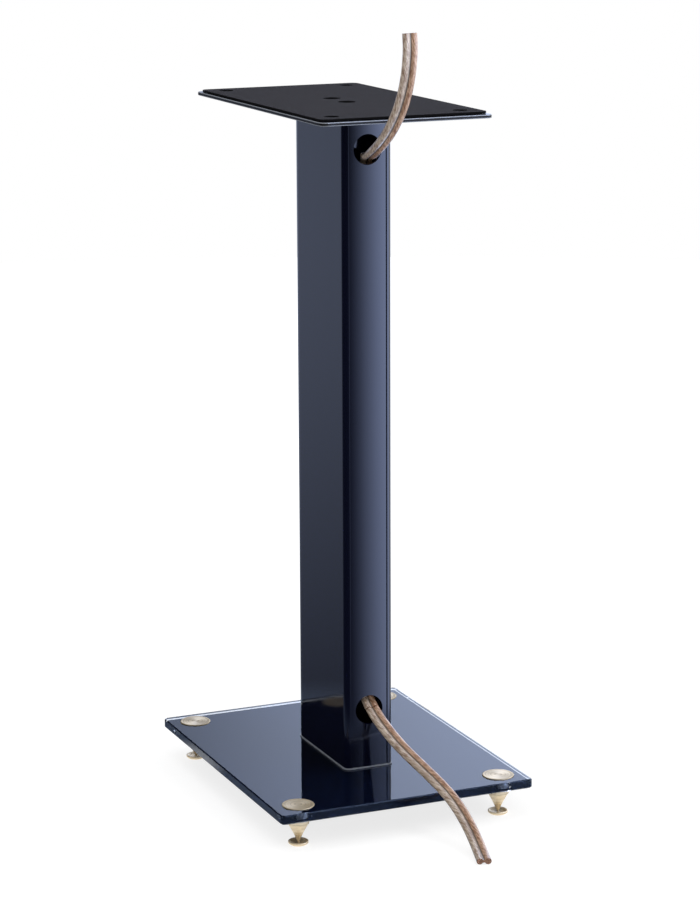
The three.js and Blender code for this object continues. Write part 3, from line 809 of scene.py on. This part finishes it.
# %% Foot profiles
GAP = 0.3
DISC_BOTTOM, DISC_TOP, DISC_RADIUS = 34.05, 34.8, 13.5
RIM_WIDTH, RIM_SLOPE, DISH, BEVEL_WIDTH, BEVEL_DROP = 1.3, 0.3, 0.15, 0.4, 0.3
BOSS_RADIUS, BORE_RADIUS = 6.0, 4.3
STUD_RADIUS, STUD_TOP, STUD_CHAMFER = 4.0, 31.8, 0.8
BUSH_BORE, BUSH_RADIUS, FLANGE_RADIUS = BOSS_RADIUS + GAP, 7.7, 12.0
FLANGE_BOTTOM, FLANGE_TOP = 24.7, 25.7
NUT_BOTTOM, NUT_TOP, NUT_RADIUS, NUT_CHAMFER = 21.9, 24.4, 11.0, 0.5
COLLAR_BOTTOM, COLLAR_TOP, COLLAR_RADIUS = 18.4, 21.6, 9.2
TIP_Z, TIP_RADIUS, CONE_TOP_RADIUS, HOLLOW = 1.5, 0.8, 8.8, 1.2
CUP_FLOOR, CUP_TOP, CUP_RADIUS = 1.2, 3.0, 8.5
CUP_FOOT_RADIUS, CUP_SIDE_BOTTOM, CUP_BEVEL = 6.8, 1.4, 0.3
DIMPLE_RADIUS, DIMPLE_DEPTH, BOWL_RADIUS = 1.2, 0.3, 7.6


def disc_profile():
    """Top face with a shallow dish inside a raised bevelled rim, then the boss below."""
    dish_z, rim_inner = DISC_TOP - DISH, DISC_RADIUS - RIM_WIDTH
    return softened([
        (0.0, dish_z), (rim_inner - RIM_SLOPE, dish_z), (rim_inner, DISC_TOP),
        (DISC_RADIUS - BEVEL_WIDTH, DISC_TOP), (DISC_RADIUS, DISC_TOP - BEVEL_DROP),
        (DISC_RADIUS, DISC_BOTTOM), (BOSS_RADIUS, DISC_BOTTOM), (BOSS_RADIUS, NUT_BOTTOM),
        (BORE_RADIUS, NUT_BOTTOM), (BORE_RADIUS, STUD_TOP + GAP), (0.0, STUD_TOP + GAP),
    ], radius=0.12)


def bush_profile():
    """Sleeve in the glass with a flange under it."""
    sleeve_top = GLASS_TOP - GAP
    return softened([
        (BUSH_BORE, FLANGE_BOTTOM), (FLANGE_RADIUS, FLANGE_BOTTOM), (FLANGE_RADIUS, FLANGE_TOP),
        (BUSH_RADIUS, FLANGE_TOP), (BUSH_RADIUS, sleeve_top), (BUSH_BORE, sleeve_top),
    ], radius=0.2, closed=True)


def nut_profile():
    """Thin round nut with chamfered edges."""
    face_radius = NUT_RADIUS - NUT_CHAMFER
    return softened([
        (BUSH_BORE, NUT_BOTTOM), (face_radius, NUT_BOTTOM), (NUT_RADIUS, NUT_BOTTOM + NUT_CHAMFER),
        (NUT_RADIUS, NUT_TOP - NUT_CHAMFER), (face_radius, NUT_TOP), (BUSH_BORE, NUT_TOP),
    ], radius=0.15, closed=True)


def spike_profile():
    """r = tip + (top - tip) s^1.2 for a share s of the height, then the collar and the stud."""
    share = np.linspace(0, 1, 33)
    radius = TIP_RADIUS + (CONE_TOP_RADIUS - TIP_RADIUS) * share**HOLLOW
    cone = np.column_stack([radius, TIP_Z + (COLLAR_BOTTOM - TIP_Z) * share])
    collar = softened([
        cone[-1], (COLLAR_RADIUS, COLLAR_BOTTOM), (COLLAR_RADIUS, COLLAR_TOP),
        (STUD_RADIUS, COLLAR_TOP), (STUD_RADIUS, STUD_TOP - STUD_CHAMFER),
        (STUD_RADIUS - STUD_CHAMFER, STUD_TOP), (0.0, STUD_TOP),
    ], radius=0.25)
    return np.concatenate([[(0.0, TIP_Z - 0.1)], cone[:-1], collar])


def cup_profile():
    """Round dish: the bowl is a parabola down to a dimple for the spike's tip."""
    share = np.linspace(1, 0, 17)
    bowl = np.column_stack([
        DIMPLE_RADIUS + (BOWL_RADIUS - DIMPLE_RADIUS) * share,
        CUP_FLOOR + (CUP_TOP - CUP_FLOOR) * share**2,
    ])
    body = softened([
        (0.0, 0.0), (CUP_FOOT_RADIUS, 0.0), (CUP_RADIUS, CUP_SIDE_BOTTOM),
        (CUP_RADIUS, CUP_TOP - CUP_BEVEL), (CUP_RADIUS - CUP_BEVEL, CUP_TOP), bowl[0],
    ], radius=0.3)
    return np.concatenate([body, bowl[1:], [(0.0, CUP_FLOOR - DIMPLE_DEPTH)]])


FOOT_PARTS = (
    ("disc", disc_profile(), "top_cap", "spun_brass", "root", False),
    ("bush", bush_profile(), "glass_bush", "white_nylon", "root", True),
    ("nut", nut_profile(), "ring_nut", "zinc_steel", "root", True),
    ("brass_spike", spike_profile(), "spike", "spun_brass", "screw", False),
    ("brass_cup", cup_profile(), "cup", "spun_brass", "foot", False),
)
FEET = {
    "front_left": (-1, -1), "front_right": (1, -1), "rear_left": (-1, 1), "rear_right": (1, 1),
}
print("foot profiles ready")

# %% [markdown]
# ## The four feet
# The disc, the bush and the nut belong to the base. The cup goes up and down with the height of
# the foot, and the spike turns as well, so each of these two rides on a body of its own.

# %% Four feet
for side, (sx, sy) in FEET.items():
    for part, profile, node, finish, body, closed in FOOT_PARTS:
        points, faces = turned(profile, (sx * FOOT_X, sy * FOOT_Y), closed=closed)
        made = piece(
            f"{part}_{side}", points, faces, [finish], f"{node}_{side}",
            body if body == "root" else f"{body}_{side}",
        )
        weld(made)
        shade(made.data, len(made.data.polygons))

# %% [markdown]
# ## The column
# The extrusion has a half-round nose, flat sides, small rear corners and, behind a web, the open
# duct for the cable. An extrusion is one outline carried straight up, so it is the same plate as
# the base with its edge profile 559 mm tall. The chambers and the screw ports are its holes.

# %% Column
HALF_WIDTH, HALF_DEPTH, WALL, REAR_CORNER = 22.0, 59.0, 2.5, 5.0
NOSE_Y, WEB_Y, PORT_OUTER, PORT_INNER = -37.0, 31.75, 8.0, 4.3
COLUMN_BOTTOM, COLUMN_TOP = 35.6, 594.7
SEAM_X, COVER_INNER_Y = HALF_WIDTH - REAR_CORNER, 56.7
INNER_X = HALF_WIDTH - WALL
LIP_DEPTH, LIP_REACH = 2.0, 7.0


def bow(x, y, radius, start, end, steps):
    """Points of a circular arc about (x, y), both ends included."""
    angle = np.radians(np.linspace(start, end, steps + 1))
    return np.column_stack([x + radius * np.cos(angle), y + radius * np.sin(angle)])


def fixed(points):
    """Outline function that doesn't draw back."""
    return lambda shrink: points


def duct_line():
    """Right half of the open duct, from the seam in to the web."""
    lip_outer, lip_inner = COVER_INNER_Y - GAP, COVER_INNER_Y - GAP - LIP_DEPTH
    lip_end = INNER_X - LIP_REACH
    return np.array([
        (SEAM_X, lip_outer), (lip_end, lip_outer), (lip_end, lip_inner),
        (INNER_X, lip_inner), (INNER_X, WEB_Y + WALL / 2),
    ])


def column_outline(grow=0.0, open_duct=True):
    """Nose, right side and corner, then the duct and its mirror image, then the left corner."""
    corner = REAR_CORNER + grow
    nose = bow(0, NOSE_Y, HALF_WIDTH + grow, 180, 360, 96)
    right_corner = bow(SEAM_X, HALF_DEPTH - REAR_CORNER, corner, 0, 90, 16)
    left_corner = bow(-SEAM_X, HALF_DEPTH - REAR_CORNER, corner, 90, 180, 16)
    if not open_duct:
        return np.concatenate([nose, right_corner, left_corner])
    duct = duct_line()
    mirrored = (duct * [-1, 1])[::-1]
    return np.concatenate([nose, right_corner, duct, mirrored, left_corner])


def chambers():
    """The three hollows in front of the duct, clockwise, with ribs from the ports to the walls."""
    rib = WALL / 2
    angle = math.degrees(math.asin(rib / PORT_OUTER))
    nose = bow(0, NOSE_Y, INNER_X, 180, 360, 48)

    def below(y):
        arch = bow(0, y, PORT_OUTER, -angle, angle - 180, 24)
        return np.concatenate([[(INNER_X, y - rib)], arch, [(-INNER_X, y - rib)]])

    def above(y):
        arch = bow(0, y, PORT_OUTER, 180 - angle, angle, 24)
        return np.concatenate([[(-INNER_X, y + rib)], arch, [(INNER_X, y + rib)]])

    web = np.array([(INNER_X, WEB_Y - rib), (-INNER_X, WEB_Y - rib)])
    low, high = PORTS
    first = np.concatenate([nose, below(low)])
    middle = np.concatenate([above(low), below(high)])
    last = np.concatenate([above(high), web])
    return [shape[::-1] for shape in (first, middle, last)]


upright = [(0.0, COLUMN_BOTTOM), (0.0, COLUMN_TOP)]
outlines = [(fixed(column_outline()), upright)]
outlines += [(fixed(shape), upright) for shape in chambers()]
outlines += [(hole(0, y, PORT_INNER, 32), upright) for y in PORTS]
points, walls, levels = plate(outlines)
piece("column", points, walls, ["navy_lacquer"], "column_extrusion", level=levels)

# %% [markdown]
# ## The gasket
# A 1 mm clear sheet lies between the column and the glass. It has the outline of the column
# without the duct, half a millimetre larger, so that its edge shows as a thin light line.

# %% Gasket
GASKET_BOTTOM, GASKET_TOP, GASKET_GROW = 34.3, 35.3, 0.5
thin = [(0.0, GASKET_BOTTOM), (0.0, GASKET_TOP)]
outlines = [(fixed(column_outline(GASKET_GROW, open_duct=False)), thin)]
outlines += [(hole(0, y, PORT_INNER, 32), thin) for y in PORTS]
points, walls, levels = plate(outlines)
piece("gasket", points, walls, ["clear_gasket"], "foot_gasket", level=levels)

# %% [markdown]
# ## The rear cover
# The cover is a second extrusion, which clips over the lips of the duct. Its section is a strip
# with two barbed legs, and its outer face is slightly crowned, which is what spreads the studio's
# light across it. The two cable holes are cut through it with a turned plug whose rim flares, so
# that the paint rolls over the edge of each hole. The crown's facets meet at less than half a
# degree, so a small angle keeps the crown smooth and every other edge sharp.

# %% Rear cover
CROWN, SMOOTH_UP_TO = 0.9, 6
COVER_HALF = SEAM_X - GAP
LEG_OUTER, LEG_INNER, BARB, BARB_DROP = 12.0, 10.4, 1.5, 3.0
HOLE_RADIUS, HOLE_FLARE = 12.5, 0.3
HOLE_HEIGHTS = (86.0, 565.0)
PLUG_START, PLUG_END, PLUG_END_RADIUS = 40, 60, 14.5


def cover_section():
    """Crowned outer face y = 59 - crown (x / half width)^2, then the right leg and its mirror."""
    x = np.linspace(-COVER_HALF, COVER_HALF, 41)
    outer = np.column_stack([x, HALF_DEPTH - CROWN * (x / COVER_HALF) ** 2])
    barb_y = COVER_INNER_Y - LIP_DEPTH - 2 * GAP
    leg_end = barb_y - BARB_DROP
    right_leg = np.array([
        (COVER_HALF, COVER_INNER_Y), (LEG_OUTER, COVER_INNER_Y), (LEG_OUTER, barb_y),
        (LEG_OUTER + BARB, barb_y), (LEG_OUTER, leg_end), (LEG_INNER, leg_end),
        (LEG_INNER, COVER_INNER_Y),
    ])
    left_leg = (right_leg * [-1, 1])[::-1]
    return np.concatenate([outer, right_leg, left_leg])[::-1]


def hole_cutter(z):
    """A plug along Y at height z, which widens in a quarter circle at the cover's outer face. It
    is turned upright and laid down by exchanging Y and Z."""
    rim = bow(HOLE_RADIUS + HOLE_FLARE, HALF_DEPTH - HOLE_FLARE, HOLE_FLARE, 180, 90, 5)
    start = [(0, PLUG_START), (HOLE_RADIUS, PLUG_START)]
    end = [(PLUG_END_RADIUS, PLUG_END), (0, PLUG_END)]
    points, faces = turned(np.concatenate([start, rim, end]))
    return points[:, [0, 2, 1]] + [0, 0, z], faces[:, ::-1]


points, walls, levels = plate([(fixed(cover_section()), upright)])
cover = mesh_object("rear_cover_strip", points, walls.tolist() + levels.tolist())
low, high = (hole_cutter(z) for z in HOLE_HEIGHTS)
plug_points = np.concatenate([low[0], high[0]])
plug_faces = np.concatenate([low[1], high[1] + len(low[0])])
plugs = mesh_object("plugs", plug_points, plug_faces.tolist())
weld(cover)
weld(plugs)
cutting = cover.modifiers.new("holes", "BOOLEAN")
cutting.operation = "DIFFERENCE"
cutting.solver = "MANIFOLD"
cutting.object = plugs
bpy.context.view_layer.update()
whole = cover.evaluated_get(bpy.context.evaluated_depsgraph_get())
cover.data = bpy.data.meshes.new_from_object(whole)
cover.modifiers.clear()
bpy.data.objects.remove(plugs)
cover.data.materials.clear()
cover.data.materials.append(FINISHES["navy_lacquer"].material)
shade(cover.data, len(cover.data.polygons), SMOOTH_UP_TO)
weigh_normals(cover)
dress(cover, "navy_lacquer", "rear_cover", "root")

# %% [markdown]
# ## The top plate and its pad
# A 3 mm steel plate with rounded corners, countersunk for the two screws into the column, and
# drilled near its corners for screws up into a speaker. Its rounded edges carry a painted
# highlight, light grey above and below the dark side between them. The pad is cut from sheet: its
# cut sides are black, and it has larger holes over the plate's.

# %% Top plate
PLATE_WIDTH, PLATE_DEPTH, SHEET_CORNER = 150, 280, 6
PLATE_BOTTOM, PLATE_TOP, PLATE_EDGE, DRILLED_EDGE = 595.0, 598.0, 0.6, 0.15
CORNER_HOLES = [(sx * 56.0, sy * 116.0) for sx in (-1, 1) for sy in (-1, 1)]
CORNER_HOLE_RADIUS = 3.2
SINK_LAND, SINK_WIDTH = 0.4, 2.6
countersink = [
    (0.0, PLATE_BOTTOM), (0.0, PLATE_BOTTOM + SINK_LAND),
    (SINK_WIDTH, PLATE_TOP - 0.1), (SINK_WIDTH + 0.3, PLATE_TOP),
]
plate_outline = rounded_rectangle(PLATE_WIDTH, PLATE_DEPTH, SHEET_CORNER)
rim = edge(PLATE_BOTTOM, PLATE_TOP, PLATE_EDGE)
drilled = edge(PLATE_BOTTOM, PLATE_TOP, DRILLED_EDGE)
outlines = [(plate_outline, rim)]
outlines += [(hole(x, y, CORNER_HOLE_RADIUS, 32), drilled) for x, y in CORNER_HOLES]
outlines += [(hole(0, y, PORT_INNER), countersink) for y in PORTS]
points, walls, levels = plate(outlines)

# The rim's walls come first, row by row from below, and its middle row is the upright side.
row = np.arange(len(walls)) // len(plate_outline(0))
rim_rows = len(rim) - 1
# The rounded rows take the painted highlight (finish 1); the upright side is dark (finish 2).
wall_finish = np.where(row < rim_rows, 1, 0)
wall_finish[row == rim_rows // 2] = 2
piece(
    "plate", points, walls, ["black_steel", "painted_edge_highlight", "black_screw"], "top_plate",
    level=levels, marks=np.r_[wall_finish, np.zeros(len(levels))],
)

# %% Pad
PAD_WIDTH, PAD_DEPTH = 146, 268
PAD_BOTTOM, PAD_TOP, PAD_EDGE = 598.3, 600.0, 0.2
PAD_HOLE_RADIUS, SCREW_HOLE_RADIUS = 6, 7.3
pad_edge = edge(PAD_BOTTOM, PAD_TOP, PAD_EDGE)
punched = edge(PAD_BOTTOM, PAD_TOP, DRILLED_EDGE)
outlines = [(rounded_rectangle(PAD_WIDTH, PAD_DEPTH, SHEET_CORNER), pad_edge)]
outlines += [(hole(x, y, PAD_HOLE_RADIUS), punched) for x, y in CORNER_HOLES]
outlines += [(hole(0, y, SCREW_HOLE_RADIUS), punched) for y in PORTS]
points, walls, levels = plate(outlines)
piece(
    "pad", points, walls, ["charcoal_pad", "cut_edge"], "top_pad",
    level=levels, marks=np.r_[np.ones(len(walls)), np.zeros(len(levels))],
)

# %% [markdown]
# ## The floor
# A plain pale sheet. To the camera it adds much of its own white, so that only the stand's soft
# shadow shows on it. In mirror-like surfaces it is dim and bluish, and ends a little way out, so
# that the studio's lights show beyond it. Round each foot it has a painted glow, seen only in
# mirror-like surfaces, which lightens the brass just above it.

# %% Floor
FLOOR_RADIUS, FLOOR_SIDES = 3000.0, 96
MIRRORED_REACH = 0.24

turn = np.linspace(0, 2 * np.pi, FLOOR_SIDES, endpoint=False)
circle = np.column_stack([np.cos(turn), np.sin(turn), 0 * turn])
floor = mesh_object("floor", FLOOR_RADIUS * circle, [list(range(FLOOR_SIDES))])

pale = Finish("pale_floor", Roughness=0.9, Specular_IOR_Level=0.0, Emission_Strength=1.0)
floor.data.materials.append(pale.material)
mirrored = pale.ray("Glossy")
seen = pale.ray("Camera").math("MAXIMUM", pale.ray("Transmission"))
x, y, _ = pale.split(pale.place())
distance = (x * x + y * y).math("SQRT")
by_foot = 1 - from_foot_axis(x, y).fade(0.04, 0.08)
glow = pale.blend(distance.fade(0.45, 1.0), (0.78, 0.78, 0.78), (1.1, 1.1, 1.1))
# A painted glow round each foot, which only mirror-like surfaces see.
foot_glow = pale.blend(mirrored * by_foot, (0.0, 0.0, 0.0), (0.56, 0.59, 0.65))
bounce = pale.blend(mirrored * (1 - by_foot), (0.82, 0.82, 0.82), (0.24, 0.30, 0.42))
pale.set(
    Base_Color=pale.blend(seen, bounce, (0.30, 0.30, 0.30)),
    Emission_Color=pale.blend(seen, foot_glow, glow),
)
far = distance.fade(MIRRORED_REACH, MIRRORED_REACH + 0.1)
clear = pale.node("ShaderNodeBsdfTransparent")
sheet = Wire(pale.tree, pale.surface.outputs[0])
shown = pale.node("ShaderNodeMixShader", n0=mirrored * far, n1=sheet, n2=clear)
connect(pale.tree, pale.tree.nodes["Material Output"].inputs["Surface"], shown)
print("floor ready")

# %% [markdown]
# ## The lights that the stand mirrors
# Gloss lacquer and glass show little but what they mirror. The studio is drawn in the world as a
# brightness by compass direction, in degrees from +X toward +Y, and by height. The rear cover
# mirrors the edge of a large soft light between +Y and -X, which its crown spreads into a
# gradient from dark to light. The glass mirrors the edge of a weaker light between -X and -Y,
# and the side of the column a dim one toward -Y. These lights are bluish, apart from a white
# patch about -X, which shows in the brass. To the camera the background is plain white, and
# matt surfaces get an even daylight.

# %% World
DAYLIGHT = 0.72
REAR_LIGHT, SIDE_LIGHT, FAR_LIGHT, DARK_SIDE = 6.9, 2.1, 0.57, 0.05

world = bpy.data.worlds.new("studio")
bpy.context.scene.world = world
world.use_nodes = True
sky = Sheet(world.node_tree)
mirrored, seen = sky.ray("Glossy"), sky.ray("Camera")
dx, dy, dz = sky.split(sky.node("ShaderNodeTexCoord", output="Generated"))
azimuth = dy.math("ARCTAN2", dx) * (180 / math.pi)

rear_light = azimuth.fade(98, 133) * (1 - azimuth.fade(138, 172) * 0.64) * REAR_LIGHT
rear_light = rear_light * (0.25 + dz.fade(-0.55, -0.10) * 0.75)
white = (dx * -0.985 + dy * -0.17).fade(0.80, 0.97)
side_light = (1 - azimuth.fade(-118, -104)) * SIDE_LIGHT * (0.3 + dz.fade(-0.4, 0.0) * 0.7)
side_light = side_light * (1 - white * 0.5)
far_side = (1 - azimuth.fade(-60, -25)) * FAR_LIGHT
far_side = far_side * dz.fade(-0.38, -0.12) * (1 - dz.fade(-0.06, 0.10))
dark_side = DARK_SIDE + azimuth.fade(55, 100) * DARK_SIDE
gloss = rear_light + side_light + far_side + dark_side
gloss = gloss * (1 - dz.fade(0.5, 0.85) * 0.75)
tint = sky.blend(white * mirrored, (0.64, 0.74, 1.0), (1.0, 1.0, 1.0))
tint = sky.blend(mirrored, (1.0, 1.0, 1.0), tint)
level = gloss * mirrored + (1 - mirrored) * DAYLIGHT
level = level * (1 - seen) + seen
background = world.node_tree.nodes["Background"]
connect(sky.tree, background.inputs["Color"], tint)
connect(sky.tree, background.inputs["Strength"], level)
print("world ready")

# %% [markdown]
# ## The lamps
# Two weak soft lamps, one from the rear on the -X side and one from above, give the stand its
# shadow on the floor and its matt parts their shape. They don't show in mirror-like surfaces.

# %% Lamps


def soft_lamp(name, at, aim, size, watts):
    """A flat soft lamp at a point, turned to its aim."""
    lamp = bpy.data.lights.new(name, "AREA")
    lamp.shape = "RECTANGLE"
    lamp.size, lamp.size_y = size
    lamp.energy = watts
    made = bpy.data.objects.new(name, lamp)
    bpy.context.scene.collection.objects.link(made)
    made.location = at
    made.rotation_euler = (Vector(aim) - Vector(at)).to_track_quat("-Z", "Y").to_euler()
    made.visible_glossy = False


soft_lamp("key", at=(-1.5, 1.6, 2.0), aim=(0, 0, 0.3), size=(1.2, 1.2), watts=20)
soft_lamp("top", at=(0.6, 0.3, 2.4), aim=(0, 0, 0), size=(1.5, 1.5), watts=12)
bpy.context.scene.view_settings.view_transform = "Standard"
print("lamps ready")
